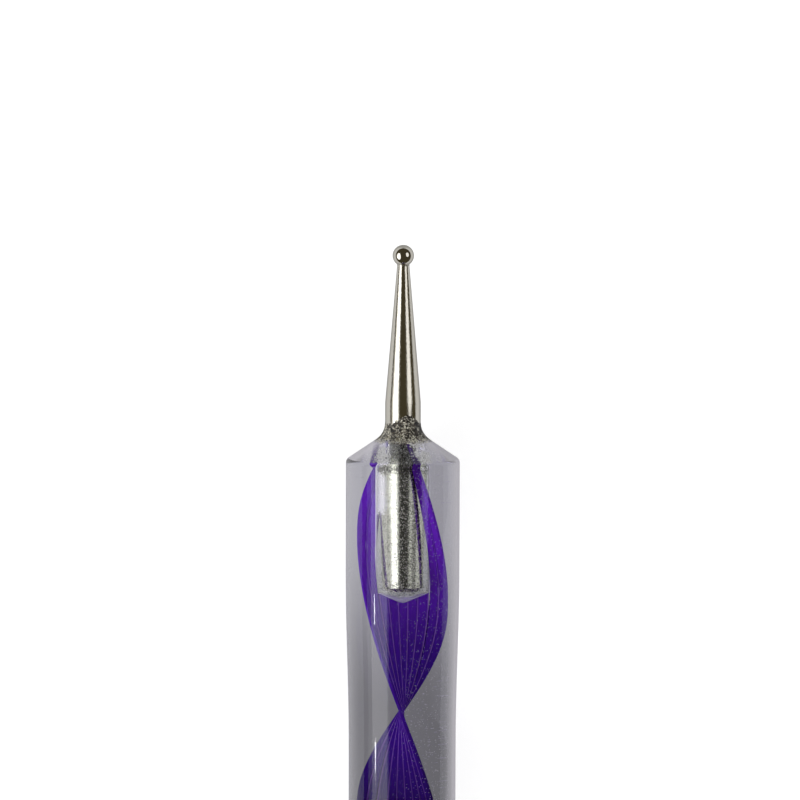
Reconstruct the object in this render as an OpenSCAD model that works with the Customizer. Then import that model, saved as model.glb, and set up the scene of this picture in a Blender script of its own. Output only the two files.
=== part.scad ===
// Double-ended embossing stylus, lying on its side along Y.
// A clear rod holds a twisted ribbon of coloured strands, and each end is drilled
// for a tapered metal shank that carries a ball and is bonded in with adhesive.

/* [Handle] */
// Length of the clear rod, from one drilled mouth to the other
handle_len = 98; // [80:1:120]
// Diameter at the two shoulders, the widest place
shoulder_d = 8; // [7.6:0.1:10]
// Diameter of the slimmer grip between the shoulders
grip_d = 7.55; // [6.6:0.05:7.6]
// Slope of the coned ends, measured from a square cut
cone_slope = 34; // [25:1:45]
// Rounding of the edge between a coned end and its shoulder
edge_r = 0.4; // [0.2:0.05:0.6]
// Length of each full-width shoulder, from its edge
shoulder_len = 8; // [5:0.5:12]
// Length over which a shoulder eases into the grip
ease_len = 12; // [8:0.5:16]
// Width of the flat left round each drilled mouth
land_w = 0.1; // [0.05:0.05:0.3]

/* [Sockets] */
// Gap all round between a shank's seat and its drilled socket
socket_fit = 0.03; // [0.02:0.01:0.08]
// Depth of each socket, from its mouth to where the drill point starts
socket_depth = 11; // [8:0.5:14]
// Included angle of the drill point
drill_angle = 118; // [90:1:135]

/* [Ribbon] */
// Width of the whole ribbon
ribbon_w = 4.36; // [3.6:0.02:5]
// Thickness of the ribbon
ribbon_t = 0.2; // [0.14:0.01:0.3]
// Width of each pale seam between two strands
seam_w = 0.06; // [0.04:0.01:0.1]
// Gap between a strand and the seam beside it
strand_gap = 0.01; // [0.01:0.005:0.02]
// Length of one full turn of the twist
ribbon_pitch = 40.5; // [32:0.5:60]
// Distance from the fine end's mouth to where the ribbon lies level
ribbon_level_at = 9.4; // [4:0.1:16]
// Room round the ribbon in the rod
channel_gap = 0.04; // [0.03:0.01:0.08]

/* [Tips] */
// Distance from a drilled mouth to the far side of its ball
tip_reach = 13.35; // [10:0.05:16]
// Ball diameter at the fine end
fine_ball_d = 1.5; // [1.2:0.1:2]
// Ball diameter at the broad end
broad_ball_d = 2.5; // [2:0.1:3]
// Diameter of the fine shank where it meets its ball
fine_neck_d = 0.85; // [0.6:0.05:1]
// Diameter of the broad shank where it meets its ball
broad_neck_d = 1.3; // [1:0.05:1.6]
// Diameter of a shank at its seat, the foot of its taper
seat_d = 2.5; // [2.3:0.05:2.7]
// Height of the straight foot above the mouth
foot_len = 2.3; // [1.4:0.1:3]
// Length of the seat inside the socket
seat_len = 0.8; // [0.5:0.1:1.5]
// Step in from the seat to the tang, all round
tang_step = 0.05; // [0.03:0.01:0.15]
// Diameter of the tang at its narrow end
tang_end_d = 1.95; // [1.6:0.05:2]
// Gap between the end of the tang and the start of the drill point
tang_gap = 0.1; // [0.05:0.05:0.5]
// Chamfer round the end of the tang
tang_chamfer = 0.25; // [0.1:0.05:0.4]
// Width of the solder ring between ball and shank
solder_w = 0.1; // [0.06:0.01:0.14]

/* [Adhesive] */
// Reach of the outer bead, up the shank and down the cone
bead_reach = 1.05; // [0.7:0.05:1.2]

/* [Hidden] */
strand_count = 9;
seam_count = strand_count - 1;

$fn = 96;
curve_steps = 8;
slice_turn = 9;

shoulder_r = shoulder_d / 2;
grip_r = grip_d / 2;
seat_r = seat_d / 2;
tang_top_r = seat_r - tang_step;
tang_end_r = tang_end_d / 2;
socket_r = seat_r + socket_fit;
land_r = socket_r + land_w;
cone_len = (shoulder_r - land_r) * tan(cone_slope);
mouth_z = handle_len / 2;
drill_point_len = socket_r / tan(drill_angle / 2);
tang_end_z = tang_gap - socket_depth;

// Half the angle between the cone's face and the shoulder's side
half_turn = (90 - cone_slope) / 2;

strand_pitch = ribbon_w / strand_count;
strand_w = strand_pitch - seam_w - 2 * strand_gap;
ribbon_turn = 360 * handle_len / ribbon_pitch;
ribbon_slices = ceil(ribbon_turn / slice_turn);
ribbon_level_z = mouth_z - ribbon_level_at;

overshoot = 1;

// Lays the upright tool down along Y, on the plane z = 0, with the fine end at +Y
module laid() {
    translate([0, 0, shoulder_r]) rotate([-90, 0, 0]) children();
}

// Puts a piece that is drawn on a mouth at z = 0 onto the fine end or the broad end
module at_fine_end() {
    translate([0, 0, mouth_z]) children();
}

module at_broad_end() {
    rotate([180, 0, 0]) at_fine_end() children();
}

function arc(centre, r, from, to) =
    [for (i = [0:curve_steps])
        centre + r * [cos(from + (to - from) * i / curve_steps),
                      sin(from + (to - from) * i / curve_steps)]];

// Outline of the rod from its drilled mouth to its middle, as radius and height
function half_outline() = concat(
    [[0, mouth_z], [land_r, mouth_z]],
    arc([shoulder_r - edge_r, mouth_z - cone_len - edge_r * tan(half_turn)],
        edge_r, 90 - cone_slope, 0),
    [for (i = [0:curve_steps])
        [grip_r + (shoulder_r - grip_r) * (1 + cos(180 * i / curve_steps)) / 2,
         mouth_z - cone_len - shoulder_len - ease_len * i / curve_steps]]
);

module rod() {
    upper = half_outline();
    lower = [for (i = [len(upper) - 1:-1:0]) [upper[i][0], -upper[i][1]]];
    rotate_extrude() polygon(concat(upper, lower));
}

// A drilled hole with its mouth at z = 0
module drilled_hole(top) {
    rotate_extrude() polygon([
        [0, top], [socket_r, top], [socket_r, -socket_depth],
        [0, -socket_depth - drill_point_len]
    ]);
}

module both_sockets() {
    at_fine_end() drilled_hole(overshoot);
    at_broad_end() drilled_hole(overshoot);
}

// Twists a flat outline about the rod's axis over its whole length, left-handed,
// with its edges divided to give the corners asked for
module twisted(corners) {
    translate([0, 0, -mouth_z])
        rotate(360 * (mouth_z + ribbon_level_z) / ribbon_pitch)
            linear_extrude(height = handle_len, twist = ribbon_turn,
                           slices = ribbon_slices, convexity = 10, $fn = corners)
                children();
}

// Keeps what the rod holds and the drill leaves of a twisted piece
module trimmed() {
    difference() {
        intersection() {
            rod();
            children();
        }
        both_sockets();
    }
}

// The channel's sides are divided at each strand, so its faces follow the twist
module ribbon_channel() {
    twisted(2 * strand_count + 2)
        square([ribbon_w + 2 * channel_gap, ribbon_t + 2 * channel_gap], center = true);
}

module handle() {
    color([0.78, 0.76, 0.84, 0.35]) laid() difference() {
        rod();
        both_sockets();
        ribbon_channel();
    }
}

module ribbon_strand(number) {
    x = (number - (strand_count + 1) / 2) * strand_pitch;
    color("indigo") laid() trimmed()
        twisted(4) translate([x, 0]) square([strand_w, ribbon_t], center = true);
}

module ribbon_seams() {
    color("plum") laid()
        for (i = [1:seam_count])
            trimmed() twisted(4) translate([(i - strand_count / 2) * strand_pitch, 0])
                square([seam_w, ribbon_t], center = true);
}

// Height of a ball's centre, with its far side at the tip's reach
function ball_z(ball_d) = tip_reach - ball_d / 2;

// Height of the circle where a neck meets its ball
function neck_z(ball_d, neck_d) =
    ball_z(ball_d) - sqrt(pow(ball_d / 2, 2) - pow(neck_d / 2, 2));

module ball(ball_d) {
    translate([0, 0, ball_z(ball_d)]) sphere(d = ball_d);
}

// A tapered shank with its seat and its tapered tang, cupped to fit the ball
module shank(ball_d, neck_d) {
    color("silver") difference() {
        rotate_extrude() polygon([
            [0, ball_z(ball_d)], [neck_d / 2, ball_z(ball_d)],
            [neck_d / 2, neck_z(ball_d, neck_d)],
            [seat_r, foot_len], [seat_r, -seat_len], [tang_top_r, -seat_len],
            [tang_end_r, tang_end_z + tang_chamfer],
            [tang_end_r - tang_chamfer, tang_end_z], [0, tang_end_z]
        ]);
        ball(ball_d);
    }
}

// A ring of solder in the corner between ball and shank
module solder(ball_d, neck_d) {
    z = neck_z(ball_d, neck_d);
    taper = (seat_d - neck_d) / 2 / (z - foot_len);
    color("gainsboro") difference() {
        rotate_extrude() polygon([
            [neck_d / 2, z],
            [neck_d / 2 + taper * solder_w, z - solder_w],
            [neck_d / 2 + solder_w, z + solder_w / 2],
            [neck_d / 2, z + solder_w]
        ]);
        ball(ball_d);
    }
}

// Adhesive that fills the socket round the tang and below it
module socket_adhesive() {
    color([0.85, 0.85, 0.8, 0.6]) rotate_extrude() polygon([
        [tang_top_r, -seat_len], [socket_r, -seat_len], [socket_r, -socket_depth],
        [0, -socket_depth - drill_point_len], [0, tang_end_z],
        [tang_end_r - tang_chamfer, tang_end_z], [tang_end_r, tang_end_z + tang_chamfer]
    ]);
}

// Adhesive squeezed out round the foot of the shank, hollowed between shank and cone
module neck_adhesive() {
    hollow_r = bead_reach / tan(half_turn);
    cone_top = (land_r - seat_r) * tan(cone_slope);
    color([0.45, 0.43, 0.4, 0.9]) rotate_extrude() polygon(concat(
        [[land_r, 0], [seat_r, 0]],
        arc([seat_r + hollow_r, cone_top + bead_reach], hollow_r, 180, 270 - cone_slope)
    ));
}

handle();
ribbon_seams();
for (i = [1:strand_count])
    ribbon_strand(i);

color("silver") laid() at_fine_end() ball(fine_ball_d);  // fine_ball
laid() at_fine_end() solder(fine_ball_d, fine_neck_d);  // fine_solder
laid() at_fine_end() shank(fine_ball_d, fine_neck_d);  // fine_shank
laid() at_fine_end() socket_adhesive();  // fine_socket_adhesive
laid() at_fine_end() neck_adhesive();  // fine_neck_adhesive

color("silver") laid() at_broad_end() ball(broad_ball_d);  // broad_ball
laid() at_broad_end() solder(broad_ball_d, broad_neck_d);  // broad_solder
laid() at_broad_end() shank(broad_ball_d, broad_neck_d);  // broad_shank
laid() at_broad_end() socket_adhesive();  // broad_socket_adhesive
laid() at_broad_end() neck_adhesive();  // broad_neck_adhesive
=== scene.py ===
# Double-ended ball stylus: a clear acrylic rod with a twisted ribbon cast in it, drilled at
# both ends for tapered metal shanks that are glued in. Lengths are in millimetres until
# the mesh helpers turn them into metres.
import math

import bmesh
import bpy
from mathutils import Matrix, Vector, noise


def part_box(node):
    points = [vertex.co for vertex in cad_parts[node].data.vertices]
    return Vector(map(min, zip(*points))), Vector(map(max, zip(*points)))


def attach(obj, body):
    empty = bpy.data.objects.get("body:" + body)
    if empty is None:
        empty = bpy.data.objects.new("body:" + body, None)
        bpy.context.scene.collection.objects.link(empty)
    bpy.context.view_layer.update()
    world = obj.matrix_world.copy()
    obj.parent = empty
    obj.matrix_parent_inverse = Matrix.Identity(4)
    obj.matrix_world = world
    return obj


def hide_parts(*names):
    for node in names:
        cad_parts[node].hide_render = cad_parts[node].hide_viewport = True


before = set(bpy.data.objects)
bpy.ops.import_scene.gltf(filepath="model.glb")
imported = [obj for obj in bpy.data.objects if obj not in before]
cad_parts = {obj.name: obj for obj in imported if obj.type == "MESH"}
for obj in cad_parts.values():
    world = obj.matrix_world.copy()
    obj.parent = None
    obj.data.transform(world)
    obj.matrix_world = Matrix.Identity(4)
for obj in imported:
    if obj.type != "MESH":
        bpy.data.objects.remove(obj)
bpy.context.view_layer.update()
mm = 0.001


def nodeBox(node):
    low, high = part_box(node)
    return [value / mm for value in low], [value / mm for value in high]


rodLow, rodHigh = nodeBox("handle")
axisHeight = (rodLow[2] + rodHigh[2]) / 2

# The clear rod: the same at both ends, so its outline is drawn from one mouth to the middle
rod = {
    "mouth": rodHigh[1],                            # from the middle to a drilled mouth
    "shoulderRadius": (rodHigh[0] - rodLow[0]) / 2,
    "gripRadius": 3.775,
    "coneSlope": 34.0,       # from a square cut
    "edgeRadius": 0.4,
    "shoulderLength": 8.0,
    "easeLength": 12.0,      # over which a shoulder narrows to the grip
    "land": 0.1,             # the flat left round a drilled mouth
    "spokes": 288,
    "socketSteps": 22,
    "edgeSteps": 10,
    "shoulderSteps": 7,
    "easeSteps": 24,
    "gripSteps": 9,
    "coneReach": 1.5,        # how far in from the mouth a face can be part of the cone
    "coneFacing": 0.7,       # and how squarely it has to face along the tool
}
socket = {
    "radius": 1.28,
    "depth": 11.0,
    "drillAngle": 118.0,
}
coneRise = math.tan(math.radians(rod["coneSlope"]))
drillRise = math.tan(math.radians(socket["drillAngle"] / 2))
rod["landRadius"] = socket["radius"] + rod["land"]
socket["point"] = socket["radius"] / drillRise


# A mesh with smooth faces, and sharp edges where it turns by more than the angle
def asObject(name, bm, material, sharpAngle=25.0):
    bmesh.ops.recalc_face_normals(bm, faces=bm.faces)
    for face in bm.faces:
        face.smooth = True
    for edge in bm.edges:
        if edge.calc_face_angle(0.0) > math.radians(sharpAngle):
            edge.smooth = False
    mesh = bpy.data.meshes.new(name)
    bm.to_mesh(mesh)
    bm.free()
    piece = bpy.data.objects.new(name, mesh)
    bpy.context.scene.collection.objects.link(piece)
    mesh.materials.append(material)
    return piece


def fitPiece(piece, slot, *nodes):
    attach(piece, "root")
    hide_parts(*nodes)
    return piece


# A place given in mm, with up counted from the tool's axis
def spot(across, along, up):
    return Vector((across * mm, along * mm, (axisHeight + up) * mm))


# Faces between each ring of points and the next, where a ring may be a single point
def joinRings(bm, rings):
    for near, far in zip(rings, rings[1:]):
        count = max(len(near), len(far))
        for i in range(count):
            j = (i + 1) % count
            corners = [near[i % len(near)], near[j % len(near)],
                       far[j % len(far)], far[i % len(far)]]
            bm.faces.new(list(dict.fromkeys(corners)))


# A turned shape about the tool's axis. The outline gives radius and place along the axis,
# and may be a function of the angle, measured from straight up towards +X.
def turned(name, outline, spokes, material, loop=False):
    bm = bmesh.new()
    angles = [2 * math.pi * i / spokes for i in range(spokes)]
    lines = [outline(angle) if callable(outline) else outline for angle in angles]
    rings = []
    for k, (radius, along) in enumerate(lines[0]):
        if radius < 1e-6:
            rings.append([bm.verts.new(spot(0, along, 0))])
        else:
            rings.append([
                bm.verts.new(spot(line[k][0] * math.sin(angle), line[k][1],
                                  line[k][0] * math.cos(angle)))
                for line, angle in zip(lines, angles)
            ])
    if loop:
        rings.append(rings[0])
    joinRings(bm, rings)
    return asObject(name, bm, material)


def arcPoints(centre, radius, start, end, steps):
    return [
        (centre[0] + radius * math.cos(math.radians(start + (end - start) * i / steps)),
         centre[1] + radius * math.sin(math.radians(start + (end - start) * i / steps)))
        for i in range(steps + 1)
    ]


def spread(start, end, steps):
    return [start + (end - start) * i / steps for i in range(steps + 1)]


# An sRGB colour as linear light
def hexColour(text):
    def linear(level):
        return level / 12.92 if level <= 0.04045 else ((level + 0.055) / 1.055) ** 2.4
    return [linear(int(text[i:i + 2], 16) / 255) for i in (1, 3, 5)] + [1.0]


def newTree(name):
    material = bpy.data.materials.new(name)
    material.use_nodes = True
    material.node_tree.nodes.clear()
    return material, material.node_tree


# Adds a node with its settings and links. The stops are those of a colour ramp.
def addNode(tree, kind, inputs=None, stops=(), **settings):
    node = tree.nodes.new("ShaderNode" + kind)
    for name, value in settings.items():
        setattr(node, name, value)
    for key, value in (inputs or {}).items():
        if isinstance(value, bpy.types.NodeSocket):
            tree.links.new(value, node.inputs[key])
        else:
            node.inputs[key].default_value = value
    while stops and len(node.color_ramp.elements) < len(stops):
        node.color_ramp.elements.new(0.5)
    for number, (place, colour) in enumerate(stops):
        element = node.color_ramp.elements[number]
        element.position = place
        element.color = hexColour(colour) if isinstance(colour, str) else [colour] * 3 + [1.0]
    return node


# Position in the tool's own frame, stretched so that one unit is a grain of this size in mm
def grain(tree, across, along=None):
    coordinates = addNode(tree, "TexCoord").outputs["Object"]
    size = [across, along or across, across]
    return addNode(tree, "Mapping", {
        "Vector": coordinates,
        "Scale": [1 / (value * mm) for value in size],
    }).outputs["Vector"]


# A mask of specks in cells of this size in mm. A cell has one where its chance is over least.
def specks(tree, size, least):
    speckRadius = 0.45   # as a share of the cell
    cells = addNode(tree, "TexVoronoi", {"Vector": grain(tree, size), "Scale": 1.0})
    chance = addNode(tree, "SeparateColor", {0: cells.outputs["Color"]}).outputs[0]
    rare = addNode(tree, "Math", {0: chance, 1: least}, operation="GREATER_THAN").outputs[0]
    near = addNode(tree, "Math", {0: cells.outputs["Distance"], 1: speckRadius},
                   operation="LESS_THAN").outputs[0]
    return addNode(tree, "Math", {0: rare, 1: near}, operation="MULTIPLY").outputs[0]


# A mask of rough-edged patches. Each is a place on the fine end, in mm across, along and
# up, with its reach, and shows on both ends. Its fade and the rough pattern are added up,
# and where the sum passes through the edge, the mask goes from one strength to the other.
def blotches(tree, patches, rough, edge, strength):
    inner, outer = 0.4, 1.6   # where a patch fades, as shares of its reach
    place = addNode(tree, "TexCoord").outputs["Object"]
    own = addNode(tree, "SeparateXYZ", {0: place}).outputs
    outwards = addNode(tree, "Math", {0: own[1]}, operation="ABSOLUTE").outputs[0]
    folded = addNode(tree, "CombineXYZ", {0: own[0], 1: outwards, 2: own[2]}).outputs[0]
    mask = None
    for across, along, up, reach in patches:
        gap = addNode(tree, "VectorMath", {0: folded, 1: spot(across, along, up)},
                      operation="DISTANCE").outputs["Value"]
        patch = addNode(tree, "MapRange", {
            "Value": gap, "From Min": inner * reach * mm, "From Max": outer * reach * mm,
            "To Min": 1.0, "To Max": 0.0,
        }).outputs[0]
        mask = patch if mask is None else addNode(
            tree, "Math", {0: mask, 1: patch}, operation="MAXIMUM").outputs[0]
    ragged = addNode(tree, "Math", {0: mask, 1: rough}, operation="ADD").outputs[0]
    return addNode(tree, "MapRange", {
        "Value": ragged, "From Min": edge[0], "From Max": edge[1],
        "To Min": strength[0], "To Max": strength[1],
    }).outputs[0]


# Lamps reach through clear pieces, so that what is cast inside is lit as in daylight
def letLampsThrough(tree, shader):
    shadowRay = addNode(tree, "LightPath").outputs["Is Shadow Ray"]
    clear = addNode(tree, "BsdfTransparent").outputs[0]
    return addNode(tree, "MixShader", {0: shadowRay, 1: shader, 2: clear}).outputs[0]


# Cast acrylic, turned and flame polished: clear with a smoky lavender cast that deepens
# with thickness. Handling left faint hair scratches, dust and, at +X, a scuffed flank.
acrylic = {
    "ior": 1.49,
    "cast": "#D8D5EA",
    "castPerMetre": 100.0,
    "polish": 0.015,          # roughness where it is polished, and where it is scuffed
    "scuffed": 0.08,
    "scuffGrain": (1.2, 4.0),
    "scuffFrom": (0.55, 0.8),
    "scratchWidth": 0.05,     # drawn coarser than real hair scratches, so that they show
    "scratchLength": 1.5,
    "scratchDepth": 0.0006,
    "scratchStrength": 0.2,
    "dust": 0.055,            # drawn coarser than real dust, so that it shows
    "dustLeast": 0.95,        # how rare a speck is, from 0 to 1
    "dustAcross": (-1.5, 3.0),
    "dustCover": (0.1, 0.6),  # how much a speck covers at those two places
    "dustColour": "#F0E8FA",
    "flank": (2.2, 3.7),      # where the scuffed flank starts, and where it is full
    "haze": (0.15, 0.95),     # from fine scuffs at the flattest angle, at those two places
    "hazeFrom": (0.38, 0.7),  # how far a surface turns away before it looks hazy
    "hazeColour": "#FAF7FF",
}


# Fine scuffs and tool marks scatter most light when the surface is seen at a slant
def addHaze(tree, shader, most, start, end):
    facing = addNode(tree, "LayerWeight", {"Blend": 0.5}).outputs["Facing"]
    haze = addNode(tree, "MapRange", {
        "Value": facing, "From Min": start, "From Max": end, "To Min": 0.0, "To Max": most,
    }).outputs[0]
    white = addNode(tree, "BsdfDiffuse", {"Color": hexColour(acrylic["hazeColour"])}).outputs[0]
    return addNode(tree, "MixShader", {0: haze, 1: shader, 2: white}).outputs[0]


# The cast is in the body of the acrylic, so it is the same behind every finish
def finishAcrylic(tree, surface):
    body = addNode(tree, "VolumeAbsorption", {
        "Color": hexColour(acrylic["cast"]), "Density": acrylic["castPerMetre"],
    }).outputs[0]
    addNode(tree, "OutputMaterial", {
        "Surface": letLampsThrough(tree, surface), "Volume": body,
    })


def makeCastAcrylic():
    material, tree = newTree("castAcrylic")
    scratch = addNode(tree, "TexNoise", {
        "Vector": grain(tree, acrylic["scratchWidth"], acrylic["scratchLength"]),
        "Scale": 1.0, "Detail": 3.0,
    }).outputs["Fac"]
    scuff = addNode(tree, "TexNoise", {
        "Vector": grain(tree, *acrylic["scuffGrain"]), "Scale": 1.0, "Detail": 4.0,
    }).outputs["Fac"]
    roughness = addNode(tree, "MapRange", {
        "Value": scuff, "From Min": acrylic["scuffFrom"][0], "From Max": acrylic["scuffFrom"][1],
        "To Min": acrylic["polish"], "To Max": acrylic["scuffed"],
    }).outputs[0]
    bump = addNode(tree, "Bump", {
        "Height": scratch, "Strength": acrylic["scratchStrength"],
        "Distance": acrylic["scratchDepth"] * mm,
    }).outputs["Normal"]
    glass = addNode(tree, "BsdfPrincipled", {
        "Base Color": [1, 1, 1, 1], "Roughness": roughness, "IOR": acrylic["ior"],
        "Transmission Weight": 1.0, "Normal": bump,
    }).outputs[0]
    place = addNode(tree, "TexCoord").outputs["Object"]
    across = addNode(tree, "SeparateXYZ", {0: place}).outputs[0]
    handled = addNode(tree, "MapRange", {
        "Value": across,
        "From Min": acrylic["flank"][0] * mm, "From Max": acrylic["flank"][1] * mm,
        "To Min": acrylic["haze"][0], "To Max": acrylic["haze"][1],
    }).outputs[0]
    settled = addNode(tree, "MapRange", {
        "Value": across,
        "From Min": acrylic["dustAcross"][0] * mm, "From Max": acrylic["dustAcross"][1] * mm,
        "To Min": acrylic["dustCover"][0], "To Max": acrylic["dustCover"][1],
    }).outputs[0]
    dust = addNode(tree, "BsdfDiffuse", {"Color": hexColour(acrylic["dustColour"])}).outputs[0]
    dustSpecks = specks(tree, acrylic["dust"], acrylic["dustLeast"])
    cover = addNode(tree, "Math", {0: dustSpecks, 1: settled}, operation="MULTIPLY").outputs[0]
    dusty = addNode(tree, "MixShader", {0: cover, 1: glass, 2: dust}).outputs[0]
    finishAcrylic(tree, addHaze(tree, dusty, handled, *acrylic["hazeFrom"]))
    return material


# The coned ends are turned and only rubbed smooth, so they look milky at a slant. Glue
# ran down them in places when the tips were pushed in, and dried to a mottled smear.
coneFinish = {
    "haze": 0.85,
    "hazeFrom": (0.42, 0.66),
    "roughness": 0.07,
    # Across, along, up and reach
    "smears": [(-1.45, 48.2, 2.3, 0.4), (-1.4, 47.8, 2.8, 0.5), (-1.4, 47.3, 3.3, 0.5),
               (1.35, 47.9, 2.7, 0.55), (1.6, 47.4, 3.1, 0.4), (0.95, 48.5, 1.8, 0.45)],
    "smearDark": "#B5B2B0",
    "smearLight": "#F4F4F6",
    "smearGrain": 0.12,
    "smearTorn": (0.35, 0.65),
    "smearEdge": (0.75, 1.2),
    "smearCover": (0.0, 0.92),
    "mottleFrom": (0.35, 0.6),
}


def makeTurnedCone():
    material, tree = newTree("turnedCone")
    rough = addNode(tree, "TexNoise", {
        "Vector": grain(tree, coneFinish["smearGrain"]), "Scale": 1.0, "Detail": 5.0,
    }).outputs["Fac"]
    glass = addNode(tree, "BsdfPrincipled", {
        "Base Color": [1, 1, 1, 1], "Roughness": coneFinish["roughness"],
        "IOR": acrylic["ior"], "Transmission Weight": 1.0,
    }).outputs[0]
    hazy = addHaze(tree, glass, coneFinish["haze"], *coneFinish["hazeFrom"])
    mottle = addNode(tree, "TexNoise", {
        "Vector": grain(tree, 0.5 * coneFinish["smearGrain"]), "Scale": 1.0, "Detail": 2.0,
    }).outputs["Fac"]
    tone = addNode(tree, "ValToRGB", {"Fac": mottle}, stops=list(zip(
        coneFinish["mottleFrom"], (coneFinish["smearDark"], coneFinish["smearLight"]),
    ))).outputs["Color"]
    glue = addNode(tree, "BsdfDiffuse", {"Color": tone}).outputs[0]
    torn = addNode(tree, "MapRange", {
        "Value": rough,
        "From Min": coneFinish["smearTorn"][0], "From Max": coneFinish["smearTorn"][1],
    }).outputs[0]
    covered = blotches(tree, coneFinish["smears"], torn,
                       coneFinish["smearEdge"], coneFinish["smearCover"])
    smeared = addNode(tree, "MixShader", {0: covered, 1: hazy, 2: glue}).outputs[0]
    finishAcrylic(tree, smeared)
    return material


# The drilled wall of a socket: drilled and glued, so most of it is wet with glue whose
# index is just under the acrylic's, and shows as no more than a thin line. Where the glue
# stays off, the acrylic meets air and turns silver at a slant.
drilled = {
    "gluedIor": acrylic["ior"] / 1.45,    # from the glue into the acrylic
    "wetRoughness": 0.02,
    "dryRoughness": 0.1,
    # Across, along, up and reach
    "dryPatches": [(-1.15, 44.4, 0.3, 0.9), (-1.15, 45.6, 0.3, 0.9), (-0.9, 47.8, 0.8, 0.8),
                   (1.1, 47.4, 0.6, 0.7)],
    "dryEdge": (0.85, 1.2),
    "dryCover": (0.0, 0.85),
    "grain": 0.12,
    "line": 0.9,              # the pale line where the wall turns out of sight
    "lineFrom": (0.64, 0.88),
}


def makeDrilledWall():
    material, tree = newTree("drilledWall")
    rough = addNode(tree, "TexNoise", {
        "Vector": grain(tree, drilled["grain"]), "Scale": 1.0, "Detail": 4.0,
    }).outputs["Fac"]
    dry = blotches(tree, drilled["dryPatches"], rough, drilled["dryEdge"], drilled["dryCover"])
    glued = addNode(tree, "BsdfPrincipled", {
        "Base Color": [1, 1, 1, 1], "Roughness": drilled["wetRoughness"],
        "IOR": drilled["gluedIor"], "Transmission Weight": 1.0,
    }).outputs[0]
    bare = addNode(tree, "BsdfPrincipled", {
        "Base Color": [1, 1, 1, 1], "Roughness": drilled["dryRoughness"],
        "IOR": acrylic["ior"], "Transmission Weight": 1.0,
    }).outputs[0]
    wall = addNode(tree, "MixShader", {0: dry, 1: glued, 2: bare}).outputs[0]
    lined = addHaze(tree, wall, drilled["line"], *drilled["lineFrom"])
    addNode(tree, "OutputMaterial", {"Surface": letLampsThrough(tree, lined)})
    return material


# Half the outline of the rod, from the bottom of a socket to the rod's middle
def rodOutline():
    halfTurn = (90 - rod["coneSlope"]) / 2
    mouth = rod["mouth"]
    corner = mouth - (rod["shoulderRadius"] - rod["landRadius"]) * coneRise
    easeStart = corner - rod["shoulderLength"]
    bottom = mouth - socket["depth"]
    outline = [(0, bottom - socket["point"])]
    outline += [(socket["radius"], y) for y in spread(bottom, mouth, rod["socketSteps"])]
    outline += [(rod["landRadius"], mouth)]
    outline += reversed(arcPoints(
        (rod["shoulderRadius"] - rod["edgeRadius"],
         corner - rod["edgeRadius"] * math.tan(math.radians(halfTurn))),
        rod["edgeRadius"], 0, 90 - rod["coneSlope"], rod["edgeSteps"]))
    outline += [(rod["shoulderRadius"], y)
                for y in spread(corner - 1, easeStart, rod["shoulderSteps"])]
    for share in spread(0, 1, rod["easeSteps"])[1:]:
        ease = (1 + math.cos(math.pi * share)) / 2
        outline.append((
            rod["gripRadius"] + (rod["shoulderRadius"] - rod["gripRadius"]) * ease,
            easeStart - rod["easeLength"] * share))
    gripStart = easeStart - rod["easeLength"]
    outline += [(rod["gripRadius"], y) for y in spread(gripStart, 0, rod["gripSteps"])[1:]]
    return outline


def makeRod(outside, wall, cone):
    half = rodOutline()
    other = [(radius, -along) for radius, along in reversed(half[:-1])]
    piece = turned("clearRod", half + other, rod["spokes"], outside)
    piece.data.materials.append(wall)
    piece.data.materials.append(cone)
    for face in piece.data.polygons:
        x, y, z = face.center
        radius = math.hypot(x, z - axisHeight * mm) / mm
        if radius < socket["radius"] + 0.01:
            face.material_index = 1
        elif (abs(y / mm) > rod["mouth"] - rod["coneReach"]
              and abs(face.normal.y) > rod["coneFacing"]):
            face.material_index = 2
    return fitPiece(piece, "clear_acrylic", "handle")


# Strands of dyed acrylic filament, fused side by side and cast in: deep purple with faint
# streaks along their length. Their colour carries painted light, paler towards the tips
# where more light comes in, and painted shade, darker in the middle and in front of the tang.
ribbon = {
    "width": 4.36,
    "thickness": 0.2,
    "count": 9,
    "seam": 0.06,
    "gap": 0.01,
    "bevel": 0.03,
    "pitch": 40.5,           # the length of one full turn
    "levelAt": 9.4,          # how far in from the fine mouth it lies level
    "clearance": 0.02,
    "ringStep": 0.25,
    "fade": (23.0, 33.0, 41.0),   # painted light: distances from the middle at which the shaded to lit tones are reached
    # painted light: each list runs from shaded in the middle to lit at the tips
    "strandShadedToLit": ["#220556", "#410E94", "#6825BC"],
    "seamShadedToLit": ["#4F2E82", "#9464CC", "#7034BC"],
    "streak": (0.12, 6.0),
    "streakFrom": (0.3, 0.7),
    "streakLevel": (0.9, 1.1),
    "paintedShadeBeforeTang": 0.35,      # painted shade: how dark it is in front of the tang, which sends no light through
    "tangShadeAside": (0.9, 1.25),
    "tangShadeFrom": (38.0, 38.5),
}


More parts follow.
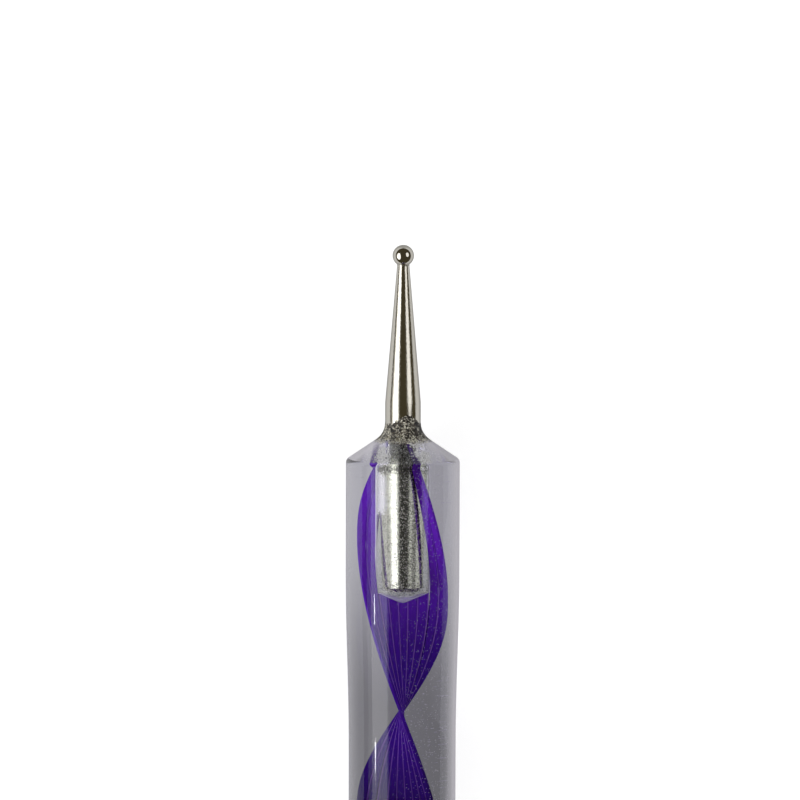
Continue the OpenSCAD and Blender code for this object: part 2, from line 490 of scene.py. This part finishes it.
def makeStrandMaterial(name, tones):
    material, tree = newTree(name)
    place = addNode(tree, "TexCoord").outputs["Object"]
    parts = addNode(tree, "SeparateXYZ", {0: place}).outputs
    outwards = addNode(tree, "Math", {0: parts[1]}, operation="ABSOLUTE").outputs[0]
    # Painted light and shade: paler towards the tips, darker in the middle
    start, halfway, end = ribbon["fade"]
    share = addNode(tree, "MapRange", {
        "Value": outwards, "From Min": start * mm, "From Max": end * mm,
    }).outputs[0]
    places = [0.0, (halfway - start) / (end - start), 1.0]
    colour = addNode(tree, "ValToRGB", {"Fac": share},
                     stops=list(zip(places, tones))).outputs["Color"]
    # Painted shade: darker where the strand lies in front of the tang
    aside = addNode(tree, "Math", {0: parts[0]}, operation="ABSOLUTE").outputs[0]
    clear = addNode(tree, "MapRange", {
        "Value": aside,
        "From Min": ribbon["tangShadeAside"][0] * mm, "From Max": ribbon["tangShadeAside"][1] * mm,
        "To Min": ribbon["paintedShadeBeforeTang"], "To Max": 1.0,
    }).outputs[0]
    beside = addNode(tree, "MapRange", {
        "Value": outwards,
        "From Min": ribbon["tangShadeFrom"][0] * mm, "From Max": ribbon["tangShadeFrom"][1] * mm,
    }).outputs[0]
    shadow = addNode(tree, "Mix", {0: beside, 2: 1.0, 3: clear}, data_type="FLOAT").outputs[0]
    streak = addNode(tree, "TexNoise", {
        "Vector": grain(tree, *ribbon["streak"]), "Scale": 1.0, "Detail": 3.0,
    }).outputs["Fac"]
    shade = addNode(tree, "MapRange", {
        "Value": streak,
        "From Min": ribbon["streakFrom"][0], "From Max": ribbon["streakFrom"][1],
        "To Min": ribbon["streakLevel"][0], "To Max": ribbon["streakLevel"][1],
    }).outputs[0]
    level = addNode(tree, "Math", {0: shade, 1: shadow}, operation="MULTIPLY").outputs[0]
    streaked = addNode(tree, "VectorMath", {0: colour, 1: level}, operation="MULTIPLY").outputs[0]
    plastic = addNode(tree, "BsdfPrincipled", {
        "Base Color": streaked, "Roughness": 0.5, "IOR": acrylic["ior"],
        "Specular IOR Level": 0.0,
    }).outputs[0]
    addNode(tree, "OutputMaterial", {"Surface": plastic})
    return material


# The furthest that a strand reaches along the rod at this distance from the axis: to the
# drill point inside the socket's radius, and to the coned end outside it
def strandEnd(radius):
    if radius < socket["radius"]:
        pointStart = rod["mouth"] - socket["depth"] - socket["point"]
        return pointStart + radius / drillRise - ribbon["clearance"]
    return rod["mouth"] - max(0, radius - rod["landRadius"]) * coneRise - ribbon["clearance"]


# A place in the twisted ribbon, given across its width and through its thickness
def ribbonSpot(across, depth, along):
    turn = 2 * math.pi * (along - (rod["mouth"] - ribbon["levelAt"])) / ribbon["pitch"]
    return spot(across * math.cos(turn) - depth * math.sin(turn), along,
                across * math.sin(turn) + depth * math.cos(turn))


# One strip of the ribbon, from its inner side to its outer side, twisted with the rest
def addStrip(bm, left, right):
    half = ribbon["thickness"] / 2
    bevel = min(ribbon["bevel"], (right - left) / 4)
    section = [(left, -half + bevel), (left + bevel, -half), (right - bevel, -half),
               (right, -half + bevel), (right, half - bevel), (right - bevel, half),
               (left + bevel, half), (left, half - bevel)]
    sideStep = 0.06   # a strip whose inner side is no further in is kept out of the socket
    outside = min(abs(left), abs(right)) >= socket["radius"] - sideStep
    rings = []
    reach = max(strandEnd(abs(x)) for x, _ in section)
    steps = math.ceil(2 * reach / ribbon["ringStep"])
    for step in range(steps + 1):
        ring = []
        for x, depth in section:
            if outside:
                x = math.copysign(max(abs(x), socket["radius"] + ribbon["clearance"]), x)
                end = strandEnd(abs(x))
            else:
                end = strandEnd(min(abs(x), socket["radius"] - 0.01))
            ring.append(bm.verts.new(ribbonSpot(x, depth, end * (2 * step / steps - 1))))
        rings.append(ring)
    joinRings(bm, rings)
    bm.faces.new(rings[0])
    bm.faces.new(rings[-1])


def makeRibbon():
    purple = makeStrandMaterial("dyedFilamentPaintedLight", ribbon["strandShadedToLit"])
    pale = makeStrandMaterial("paleFilamentPaintedLight", ribbon["seamShadedToLit"])
    pitch = ribbon["width"] / ribbon["count"]
    halfStrand = (pitch - ribbon["seam"] - 2 * ribbon["gap"]) / 2
    for number in range(1, ribbon["count"] + 1):
        middle = (number - (ribbon["count"] + 1) / 2) * pitch
        bm = bmesh.new()
        addStrip(bm, middle - halfStrand, middle + halfStrand)
        strand = asObject(f"strand{number}", bm, purple)
        fitPiece(strand, "purple_strand", f"ribbon_strand_{number}")
    bm = bmesh.new()
    for number in range(1, ribbon["count"]):
        middle = (number - ribbon["count"] / 2) * pitch
        addStrip(bm, middle - ribbon["seam"] / 2, middle + ribbon["seam"] / 2)
    fitPiece(asObject("seamThreads", bm, pale), "pale_strand", "ribbon_seams")


# Steel turned to a taper and nickel plated: bright with a slightly warm cast, with the
# faint rings of the turning tool and fine pits under the plating.
nickel = {
    "colour": "#DAD6CC",
    "roughness": 0.12,
    "pit": (0.06, 0.15),     # both drawn coarser than real ones, so that they show
    "rings": (3.0, 0.06),
    "depth": 0.014,
    "relief": 0.35,
}


def makeNickelPlate():
    material, tree = newTree("nickelPlate")
    pits = addNode(tree, "TexNoise", {
        "Vector": grain(tree, *nickel["pit"]), "Scale": 1.0, "Detail": 3.0,
    }).outputs["Fac"]
    rings = addNode(tree, "TexNoise", {
        "Vector": grain(tree, *nickel["rings"]), "Scale": 1.0, "Detail": 2.0,
    }).outputs["Fac"]
    worked = addNode(tree, "Math", {0: pits, 1: rings}, operation="ADD").outputs[0]
    bump = addNode(tree, "Bump", {
        "Height": worked, "Strength": nickel["relief"], "Distance": nickel["depth"] * mm,
    }).outputs["Normal"]
    roughness = addNode(tree, "MapRange", {
        "Value": pits, "From Min": 0.3, "From Max": 0.75,
        "To Min": 0.6 * nickel["roughness"], "To Max": 1.6 * nickel["roughness"],
    }).outputs[0]
    metal = addNode(tree, "BsdfPrincipled", {
        "Base Color": hexColour(nickel["colour"]), "Metallic": 1.0, "Roughness": roughness,
        "Normal": bump,
    }).outputs[0]
    addNode(tree, "OutputMaterial", {"Surface": metal})
    return material


# Bearing steel ball, ground and polished: a mirror with next to no texture
ballFinish = {
    "colour": "#D6D2C8",
    "roughness": 0.03,
    "grain": 0.15,
}


def makePolishedBall():
    material, tree = newTree("polishedBall")
    haze = addNode(tree, "TexNoise", {
        "Vector": grain(tree, ballFinish["grain"]), "Scale": 1.0, "Detail": 2.0,
    }).outputs["Fac"]
    roughness = addNode(tree, "MapRange", {
        "Value": haze, "To Min": 0.5 * ballFinish["roughness"],
        "To Max": 1.5 * ballFinish["roughness"],
    }).outputs[0]
    metal = addNode(tree, "BsdfPrincipled", {
        "Base Color": hexColour(ballFinish["colour"]), "Metallic": 1.0, "Roughness": roughness,
    }).outputs[0]
    addNode(tree, "OutputMaterial", {"Surface": metal})
    return material


# Silver braze that has wicked round the joint: smooth, greyer than the plating
brazeFinish = {
    "flow": 0.1,
    "dull": "#B4B0A6",
    "bright": "#DAD6CC",
    "roughness": 0.28,
}


def makeSilverBraze():
    material, tree = newTree("silverBraze")
    flow = addNode(tree, "TexNoise", {
        "Vector": grain(tree, brazeFinish["flow"]), "Scale": 1.0, "Detail": 3.0,
    }).outputs["Fac"]
    colour = addNode(tree, "ValToRGB", {"Fac": flow}, stops=[
        (0.35, brazeFinish["dull"]), (0.7, brazeFinish["bright"]),
    ]).outputs["Color"]
    metal = addNode(tree, "BsdfPrincipled", {
        "Base Color": colour, "Metallic": 1.0, "Roughness": brazeFinish["roughness"],
    }).outputs[0]
    addNode(tree, "OutputMaterial", {"Surface": metal})
    return material


# Cured glue round the tang: clear, full of fine bubbles and metal dust. They are drawn
# at twice their size, so that they show.
curedGlue = {
    "grit": 0.055,
    "darkFrom": 0.83,           # how rare a dark speck is, from 0 to 1, and a light one
    "lightFrom": 0.86,
    "dark": "#25211E",
    "light": "#C9C5BC",
    "cast": "#FDFFFC",
    "endLine": (38.9, 38.3),    # where the specks crowd, at the foot of the tang
    "endShare": 0.75,
    "mouthLine": (46.3, 46.7),  # and where the dust does, towards the mouth
    "mouthFrom": 0.05,
}


def makeCuredGlue():
    material, tree = newTree("curedGlue")
    place = addNode(tree, "TexCoord").outputs["Object"]
    along = addNode(tree, "SeparateXYZ", {0: place}).outputs[1]
    outwards = addNode(tree, "Math", {0: along}, operation="ABSOLUTE").outputs[0]
    crowd = addNode(tree, "MapRange", {
        "Value": outwards, "From Min": curedGlue["endLine"][0] * mm,
        "From Max": curedGlue["endLine"][1] * mm,
        "To Min": 1.0, "To Max": curedGlue["endShare"],
    }).outputs[0]
    pushedIn = addNode(tree, "MapRange", {
        "Value": outwards, "From Min": curedGlue["mouthLine"][0] * mm,
        "From Max": curedGlue["mouthLine"][1] * mm,
        "To Min": curedGlue["darkFrom"], "To Max": curedGlue["mouthFrom"],
    }).outputs[0]
    darkLeast = addNode(tree, "Math", {0: crowd, 1: pushedIn}, operation="MULTIPLY").outputs[0]
    lightLeast = addNode(tree, "Math", {0: crowd, 1: curedGlue["lightFrom"]},
                         operation="MULTIPLY").outputs[0]
    darkSpecks = specks(tree, curedGlue["grit"], darkLeast)
    lightSpecks = specks(tree, 1.1 * curedGlue["grit"], lightLeast)
    clear = addNode(tree, "BsdfTransparent", {"Color": hexColour(curedGlue["cast"])}).outputs[0]
    dust = addNode(tree, "BsdfPrincipled", {
        "Base Color": hexColour(curedGlue["dark"]), "Roughness": 0.4,
    }).outputs[0]
    bubble = addNode(tree, "BsdfPrincipled", {
        "Base Color": hexColour(curedGlue["light"]), "Roughness": 0.3,
    }).outputs[0]
    dusty = addNode(tree, "MixShader", {0: darkSpecks, 1: clear, 2: dust}).outputs[0]
    glue = addNode(tree, "MixShader", {0: lightSpecks, 1: dusty, 2: bubble}).outputs[0]
    addNode(tree, "OutputMaterial", {"Surface": glue})
    return material


# Glue squeezed out round the foot of the shank, which took up metal dust before it set:
# dark and grainy, with bright flecks towards its foot and on its -X side.
bead = {
    "climb": 0.78,            # up the shank
    "tongue": 0.72,           # how much higher it climbs on one side
    "tongueAt": 16.0,         # in degrees from straight up towards +X
    "tongueSpread": 36.0,
    "ragged": 0.22,
    "foot": 0.82,             # out over the cone
    "footRagged": 0.12,
    "film": 0.012,            # how thick it is at its edges
    "bendOut": 0.03,          # the corner that its hollow curve rounds off
    "bendUp": 0.02,
    "inset": 0.004,           # between the bead and what it sticks to
    "steps": 24,
    "fleck": 0.055,
    "facetTilt": 0.5,
    "clump": 0.5,
    "clumpFrom": (0.35, 0.65),
    "clumpLift": (-0.3, 0.3),
    "footFrom": (0.1, -0.25),  # above the mouth
    "footLift": (-0.08, 0.32),
    "sideFrom": (0.1, 1.3),    # towards +X
    "sideLift": (0.03, -0.17),
    "tones": [(0.4, "#120E0B"), (0.7, "#6A5F4E"), (0.8, "#FFFBEA")],
    "metallicFrom": (0.85, 0.95),
    "solidTo": 1.5,           # distance from the axis, beyond which it thins out
    "thinAt": 2.1,
    "thin": 0.75,
}


def makeDustedGlue():
    material, tree = newTree("dustedGlue")
    cells = addNode(tree, "TexVoronoi", {"Vector": grain(tree, bead["fleck"]), "Scale": 1.0})
    random = addNode(tree, "SeparateColor", {0: cells.outputs["Color"]}).outputs
    place = addNode(tree, "TexCoord").outputs["Object"]
    across, along, _ = addNode(tree, "SeparateXYZ", {0: place}).outputs
    outwards = addNode(tree, "Math", {0: along}, operation="ABSOLUTE").outputs[0]
    footness = addNode(tree, "MapRange", {
        "Value": outwards, "From Min": (rod["mouth"] + bead["footFrom"][0]) * mm,
        "From Max": (rod["mouth"] + bead["footFrom"][1]) * mm,
        "To Min": bead["footLift"][0], "To Max": bead["footLift"][1],
    }).outputs[0]
    clump = addNode(tree, "TexNoise", {
        "Vector": grain(tree, bead["clump"]), "Scale": 1.0, "Detail": 3.0,
    }).outputs["Fac"]
    crowd = addNode(tree, "MapRange", {
        "Value": clump, "From Min": bead["clumpFrom"][0], "From Max": bead["clumpFrom"][1],
        "To Min": bead["clumpLift"][0], "To Max": bead["clumpLift"][1],
    }).outputs[0]
    sideways = addNode(tree, "MapRange", {
        "Value": across,
        "From Min": bead["sideFrom"][0] * mm, "From Max": bead["sideFrom"][1] * mm,
        "To Min": bead["sideLift"][0], "To Max": bead["sideLift"][1],
    }).outputs[0]
    bright = addNode(tree, "Math", {0: footness, 1: sideways}, operation="ADD").outputs[0]
    raised = addNode(tree, "Math", {0: random[0], 1: bright}, operation="ADD").outputs[0]
    lift = addNode(tree, "Math", {0: raised, 1: crowd}, operation="ADD").outputs[0]
    colour = addNode(tree, "ValToRGB", {"Fac": lift}, stops=bead["tones"]).outputs["Color"]
    metallic = addNode(tree, "MapRange", {
        "Value": lift,
        "From Min": bead["metallicFrom"][0], "From Max": bead["metallicFrom"][1],
    }).outputs[0]
    tilt = addNode(tree, "VectorMath", {
        0: cells.outputs["Color"], 1: [bead["facetTilt"]] * 3,
    }, operation="SUBTRACT").outputs[0]
    normal = addNode(tree, "NewGeometry").outputs["Normal"]
    tilted = addNode(tree, "VectorMath", {0: normal, 1: tilt}, operation="ADD").outputs[0]
    facet = addNode(tree, "VectorMath", {0: tilted}, operation="NORMALIZE").outputs[0]
    glue = addNode(tree, "BsdfPrincipled", {
        "Base Color": colour, "Metallic": metallic, "Roughness": 0.3, "Normal": facet,
    }).outputs[0]
    fromAxis = addNode(tree, "VectorMath", {
        0: addNode(tree, "VectorMath", {0: place, 1: spot(0, 0, 0)},
                   operation="SUBTRACT").outputs[0],
        1: (1, 0, 1),
    }, operation="MULTIPLY").outputs[0]
    radius = addNode(tree, "VectorMath", {0: fromAxis}, operation="LENGTH").outputs["Value"]
    thin = addNode(tree, "MapRange", {
        "Value": radius, "From Min": bead["solidTo"] * mm, "From Max": bead["thinAt"] * mm,
        "To Min": 0.0, "To Max": bead["thin"],
    }).outputs[0]
    gaps = addNode(tree, "Math", {0: random[1], 1: thin}, operation="LESS_THAN").outputs[0]
    clear = addNode(tree, "BsdfTransparent").outputs[0]
    ragged = addNode(tree, "MixShader", {0: gaps, 1: glue, 2: clear}).outputs[0]
    addNode(tree, "OutputMaterial", {"Surface": ragged})
    return material


tip = {
    "seatRadius": 1.25,
    "footLength": 2.3,       # straight, above the mouth
    "seatLength": 0.8,       # the same radius, inside the socket
    "tangTop": 1.2,          # radius below the seat, and at the narrow end
    "tangEnd": 0.975,
    "tangGap": 0.1,          # from the narrow end to the drill point
    "tangChamfer": 0.25,
    "neckDepth": 0.1,        # how far the neck reaches into its ball
    "taperSteps": 30,
    "tangSteps": 10,
    "braze": 0.1,            # how far down the neck it reaches
    "brazeSunk": 0.03,
    "brazeProud": 0.04,
    "edge": 0.03,            # broken off the seat's corner
    "glueSkin": 0.008,       # between the glue and what it sticks to
    "ends": {
        "fine": {"side": 1, "ballRadius": 0.75, "neckRadius": 0.425},
        "broad": {"side": -1, "ballRadius": 1.25, "neckRadius": 0.65},
    },
}


def flipped(outline, side):
    return [(radius, side * along) for radius, along in outline]


def makeBall(end, shape, reach, material):
    radius = shape["ballRadius"]
    arc = arcPoints((0, reach - radius), radius, -90, 90, 48)
    piece = turned(f"{end}Ball", flipped(arc, shape["side"]), 96, material)
    return fitPiece(piece, "polished_ball", f"{end}_ball")


# Where a neck meets its ball
def neckAt(shape, reach):
    return reach - shape["ballRadius"] - math.sqrt(
        shape["ballRadius"] ** 2 - shape["neckRadius"] ** 2)


def makeShank(end, shape, reach, material):
    mouth = rod["mouth"]
    neck = neckAt(shape, reach)
    foot = mouth + tip["footLength"]
    edge = tip["edge"]
    tangEnd = mouth - socket["depth"] + tip["tangGap"]
    seat = tip["seatRadius"]
    tangTop, tangFoot = mouth - tip["seatLength"], tangEnd + tip["tangChamfer"]
    top = neck + tip["neckDepth"]
    outline = [(0, top), (shape["neckRadius"], top)]
    outline += list(zip(spread(shape["neckRadius"], seat, tip["taperSteps"]),
                        spread(neck, foot, tip["taperSteps"])))
    outline += [(seat, y) for y in spread(foot, tangTop + edge, 6)[1:]]
    outline += [(seat - edge, tangTop), (tip["tangTop"], tangTop)]
    outline += list(zip(spread(tip["tangTop"], tip["tangEnd"], tip["tangSteps"])[1:],
                        spread(tangTop, tangFoot, tip["tangSteps"])[1:]))
    outline += [(tip["tangEnd"] - tip["tangChamfer"], tangEnd), (0, tangEnd)]
    piece = turned(f"{end}Shank", flipped(outline, shape["side"]), 192, material)
    return fitPiece(piece, "nickel_plate", f"{end}_shank")


def makeBraze(end, shape, reach, material):
    neck = neckAt(shape, reach)
    radius = shape["neckRadius"]
    sunk, proud = tip["brazeSunk"], tip["brazeProud"]
    outline = [(radius - sunk, neck - tip["braze"]), (radius + 0.25 * proud, neck - tip["braze"]),
               (radius + 0.375 * proud, neck), (radius + proud, neck + sunk),
               (radius - sunk, neck + sunk)]
    piece = turned(f"{end}Braze", flipped(outline, shape["side"]), 96, material, loop=True)
    return fitPiece(piece, "silver_solder", f"{end}_solder")


def makeSocketGlue(end, shape, material):
    skin = tip["glueSkin"]
    mouth = rod["mouth"]
    bottom = mouth - socket["depth"]
    outer = socket["radius"] - skin
    innerTop, innerEnd = tip["tangTop"] + skin, tip["tangEnd"] + skin
    tangEnd = bottom + tip["tangGap"] - skin
    top = mouth - tip["seatLength"] - skin
    outline = [(0, bottom - socket["point"] + 2 * skin), (outer, bottom + skin), (outer, top),
               (innerTop, top), (innerEnd, tangEnd + tip["tangChamfer"]),
               (innerEnd - tip["tangChamfer"], tangEnd), (0, tangEnd)]
    piece = turned(f"{end}SocketGlue", flipped(outline, shape["side"]), 128, material)
    return fitPiece(piece, "clear_adhesive", f"{end}_socket_adhesive")


# A hollow curve from the shank down to the cone, which climbs and spreads unevenly
def beadOutline(angle, side):
    mouth = rod["mouth"]
    seed = Vector((3 * math.cos(angle), 3 * math.sin(angle), 7 * side))
    turn = math.degrees(angle)
    offset = (turn - bead["tongueAt"] + 180) % 360 - 180
    tongue = bead["tongue"] * math.exp(-(offset / bead["tongueSpread"]) ** 2)
    climb = bead["climb"] + tongue + bead["ragged"] * noise.noise(3 * seed)
    foot = tip["seatRadius"] + bead["foot"] * (1 + bead["footRagged"] * noise.noise(2 * seed))
    footHeight = mouth - (foot - rod["landRadius"]) * coneRise
    start = Vector((tip["seatRadius"] + bead["film"], mouth + climb))
    bend = Vector((tip["seatRadius"] + bead["bendOut"], mouth + bead["bendUp"]))
    end = Vector((foot, footHeight + bead["film"]))
    curve = [
        tuple((1 - t) ** 2 * start + 2 * t * (1 - t) * bend + t ** 2 * end)
        for t in spread(0, 1, bead["steps"])
    ]
    inset = bead["inset"]
    under = [(foot - 5 * inset, footHeight + 4 * inset), (rod["landRadius"], mouth + inset),
             (tip["seatRadius"] + inset, mouth + inset),
             (tip["seatRadius"] + inset, mouth + climb - inset)]
    return flipped(curve + under, side)


def makeNeckBead(end, shape, material):
    piece = turned(f"{end}NeckBead", lambda angle: beadOutline(angle, shape["side"]),
                   256, material, loop=True)
    return fitPiece(piece, "filled_adhesive", f"{end}_neck_adhesive")


def makeTips():
    plate = makeNickelPlate()
    polished = makePolishedBall()
    braze = makeSilverBraze()
    glue = makeCuredGlue()
    dusted = makeDustedGlue()
    for end, shape in tip["ends"].items():
        low, high = nodeBox(f"{end}_ball")
        reach = max(abs(low[1]), abs(high[1]))
        makeBall(end, shape, reach, polished)
        makeShank(end, shape, reach, plate)
        makeBraze(end, shape, reach, braze)
        makeSocketGlue(end, shape, glue)
        makeNeckBead(end, shape, dusted)


# The studio has a pale floor in a pale room that is dark overhead. Both look white to the
# camera, and are given their own brightness in metal and through the rod, where the floor
# carries painted shade near the tool and under the rod.
studio = {
    "floorSize": 3000.0,
    "floorGap": 0.03,
    "floorPaint": "#B2B2B2",
    "floorWhite": 0.8,
    "floorInMetal": (0.1, 0.38),       # painted shade: dim near the tool, and brighter further off
    "underRod": (0.2, 0.455),          # painted shade of the rod: at its middle, and at its ends
    "underFade": (29.0, 43.0),
    "underLean": 0.12,                 # painted shade, darker towards +X by this share
    "underLeanAt": 0.7,
    "open": 0.9,                       # outside the rod's shade
    "openAside": (2.0, 9.0),
    "openPastMouth": (-1.0, 4.0),
    "roomInMetal": 0.06,
    "roomDark": "#46402F",
    "roomThroughRod": 0.9,             # at the horizon, and dark above it
    "horizon": (0.03, 0.22),
    "wallsThroughRod": [               # by direction, from -X to +X
        (0.3, 0.9), (0.35, 0.06), (0.77, 0.06), (0.8, 0.42), (0.96, 0.4), (0.99, 0.06),
    ],
    "roomFill": 0.4,
    "boxDistance": 1000.0,
}

# A long softbox on each side, the left one brighter at its core, and a small lamp low on the
# left for the short glint on the rod. Each has its angle from straight overhead towards +X,
# its lean towards the fine tip, its half angles and its brightness.
softboxes = {
    "left": {"swing": -52.5, "lean": -5.0, "wide": 25.0, "long": 34.0, "radiance": 0.6},
    "leftCore": {"swing": -49.5, "lean": -5.0, "wide": 18.0, "long": 30.0, "radiance": 1.6},
    "right": {"swing": 46.0, "lean": 12.0, "wide": 16.0, "long": 21.5, "radiance": 1.15},
    "slit": {"swing": -59.2, "lean": -10.4, "wide": 1.4, "long": 0.9, "radiance": 22.0},
}


def makeFloor():
    half = studio["floorSize"] / 2 * mm
    bm = bmesh.new()
    corners = [bm.verts.new((x * half, y * half, -studio["floorGap"] * mm))
               for x, y in ((-1, -1), (1, -1), (1, 1), (-1, 1))]
    bm.faces.new(corners)
    material, tree = newTree("paleFloor")
    path = addNode(tree, "LightPath").outputs
    place = addNode(tree, "TexCoord").outputs["Object"]
    parts = addNode(tree, "SeparateXYZ", {0: place}).outputs
    outwards = addNode(tree, "Math", {0: parts[1]}, operation="ABSOLUTE").outputs[0]
    aside = addNode(tree, "Math", {0: parts[0]}, operation="ABSOLUTE").outputs[0]
    # Painted shade of the rod on the floor that is seen through it
    shade = addNode(tree, "MapRange", {
        "Value": outwards, "From Min": studio["underFade"][0] * mm,
        "From Max": studio["underFade"][1] * mm,
        "To Min": studio["underRod"][0], "To Max": studio["underRod"][1],
    }, interpolation_type="SMOOTHSTEP").outputs[0]
    leanAt = studio["underLeanAt"] * mm
    lean = addNode(tree, "MapRange", {
        "Value": parts[0], "From Min": -leanAt, "From Max": leanAt,
        "To Min": 1 + studio["underLean"], "To Max": 1 - studio["underLean"],
    }).outputs[0]
    under = addNode(tree, "Math", {0: shade, 1: lean}, operation="MULTIPLY").outputs[0]
    clear = addNode(tree, "MapRange", {
        "Value": aside, "From Min": studio["openAside"][0] * mm,
        "From Max": studio["openAside"][1] * mm,
    }, interpolation_type="SMOOTHSTEP").outputs[0]
    past = addNode(tree, "MapRange", {
        "Value": outwards, "From Min": (rod["mouth"] + studio["openPastMouth"][0]) * mm,
        "From Max": (rod["mouth"] + studio["openPastMouth"][1]) * mm,
    }, interpolation_type="SMOOTHSTEP").outputs[0]
    openness = addNode(tree, "Math", {0: clear, 1: past}, operation="MAXIMUM").outputs[0]
    through = addNode(tree, "Mix", {0: openness, 2: under, 3: studio["open"]},
                      data_type="FLOAT").outputs[0]
    seen = addNode(tree, "Math", {0: path["Is Camera Ray"], 1: studio["floorWhite"]},
                   operation="MULTIPLY").outputs[0]
    bright = addNode(tree, "Mix", {
        0: clear, 2: studio["floorInMetal"][0], 3: studio["floorInMetal"][1],
    }, data_type="FLOAT").outputs[0]
    mirrored = addNode(tree, "Math", {0: path["Is Glossy Ray"], 1: bright, 2: seen},
                       operation="MULTIPLY_ADD").outputs[0]
    glow = addNode(tree, "Emission", {"Color": [1, 1, 1, 1], "Strength": mirrored}).outputs[0]
    paint = addNode(tree, "BsdfDiffuse", {"Color": hexColour(studio["floorPaint"])}).outputs[0]
    lit = addNode(tree, "AddShader", {0: glow, 1: paint}).outputs[0]
    shown = addNode(tree, "Emission", {"Color": [1, 1, 1, 1], "Strength": through}).outputs[0]
    floorShader = addNode(tree, "MixShader", {
        0: path["Is Transmission Ray"], 1: lit, 2: shown,
    }).outputs[0]
    addNode(tree, "OutputMaterial", {"Surface": floorShader})
    material.cycles.emission_sampling = "NONE"
    floor = asObject("floor", bm, material)


def makeRoom():
    world = bpy.data.worlds.new("room")
    bpy.context.scene.world = world
    world.use_nodes = True
    tree = world.node_tree
    tree.nodes.clear()
    path = addNode(tree, "LightPath").outputs
    fill = addNode(tree, "Mix", {
        0: path["Is Diffuse Ray"], 2: studio["roomInMetal"], 3: studio["roomFill"],
    }, data_type="FLOAT").outputs[0]
    direction = addNode(tree, "TexCoord").outputs["Generated"]
    across, _, up = addNode(tree, "SeparateXYZ", {0: direction}).outputs
    horizon = addNode(tree, "MapRange", {
        "Value": up, "From Min": studio["horizon"][0], "From Max": studio["horizon"][1],
        "To Min": studio["roomThroughRod"], "To Max": studio["roomInMetal"],
    }, interpolation_type="SMOOTHSTEP").outputs[0]
    sideways = addNode(tree, "MapRange", {"Value": across, "From Min": -1.0}).outputs[0]
    walls = addNode(tree, "ValToRGB", {"Fac": sideways},
                    stops=studio["wallsThroughRod"]).outputs["Color"]
    through = addNode(tree, "Math", {0: walls, 1: horizon}, operation="MAXIMUM").outputs[0]
    clear = addNode(tree, "Mix", {0: path["Is Transmission Ray"], 2: fill, 3: through},
                    data_type="FLOAT").outputs[0]
    shown = addNode(tree, "Mix", {0: path["Is Camera Ray"], 2: clear, 3: 1.0},
                    data_type="FLOAT").outputs[0]
    room = addNode(tree, "Background", {"Color": [1, 1, 1, 1], "Strength": shown}).outputs[0]
    dark = addNode(tree, "Background", {"Color": hexColour(studio["roomDark"])}).outputs[0]
    # A ray through rough acrylic counts as both, and only one off metal as a mirrored ray
    mirrored = addNode(tree, "Math", {0: path["Is Glossy Ray"], 1: path["Is Transmission Ray"]},
                       operation="GREATER_THAN").outputs[0]
    both = addNode(tree, "MixShader", {0: mirrored, 1: room, 2: dark}).outputs[0]
    addNode(tree, "OutputWorld", {"Surface": both})
    world.cycles.sampling_method = "NONE"


def makeSoftbox(name, box, aim):
    swing, lean = math.radians(box["swing"]), math.radians(box["lean"])
    direction = Vector((math.sin(swing) * math.cos(lean), math.sin(lean),
                        math.cos(swing) * math.cos(lean)))
    distance = studio["boxDistance"] * mm
    light = bpy.data.lights.new(name, "AREA")
    light.shape = "ELLIPSE"
    light.size = 2 * distance * math.tan(math.radians(box["wide"]))
    light.size_y = 2 * distance * math.tan(math.radians(box["long"]))
    light.energy = box["radiance"] * math.pi * math.pi / 4 * light.size * light.size_y
    lamp = bpy.data.objects.new(name, light)
    back = direction.normalized()
    side = Vector((0, 1, 0)).cross(back).normalized()
    upright = back.cross(side)
    turn = Matrix((side, upright, back)).transposed().to_4x4()
    turn.translation = aim + direction * distance
    lamp.matrix_world = turn
    lamp.visible_camera = False
    bpy.context.scene.collection.objects.link(lamp)


# The photograph looks almost straight down on the fine end, from a little beyond the tip
view = {
    "aim": (-0.31, 51.44),    # the middle of the picture, across and along
    "distance": 400.0,
    "lean": 6.0,
    "roll": 0.14,
    "pixelsPerMm": 14.26,
    "imageWidth": 800,
    "sensor": 36.0,
}


def makeCamera():
    data = bpy.data.cameras.new("camera")
    data.sensor_width = view["sensor"]
    data.lens = view["pixelsPerMm"] * view["distance"] * view["sensor"] / view["imageWidth"]
    data.clip_start = 0.01
    camera = bpy.data.objects.new("camera", data)
    lean = math.radians(view["lean"])
    aim = spot(*view["aim"], 0)
    camera.location = aim + Vector((0, math.sin(lean), math.cos(lean))) * view["distance"] * mm
    camera.rotation_euler = (-lean, 0, math.radians(view["roll"]))
    bpy.context.scene.collection.objects.link(camera)
    bpy.context.scene.camera = camera
    return aim


aim = makeCamera()
for name, box in softboxes.items():
    makeSoftbox(name, box, aim)
makeFloor()
makeRoom()
print("studio: camera, floor, room and", len(softboxes), "softboxes")

makeRod(makeCastAcrylic(), makeDrilledWall(), makeTurnedCone())
print("clear rod turned and drilled")
makeRibbon()
print("ribbon of", ribbon["count"], "strands cast in")
makeTips()
print("tips fitted:", ", ".join(tip["ends"]))

bpy.context.scene.view_settings.view_transform = "Standard"
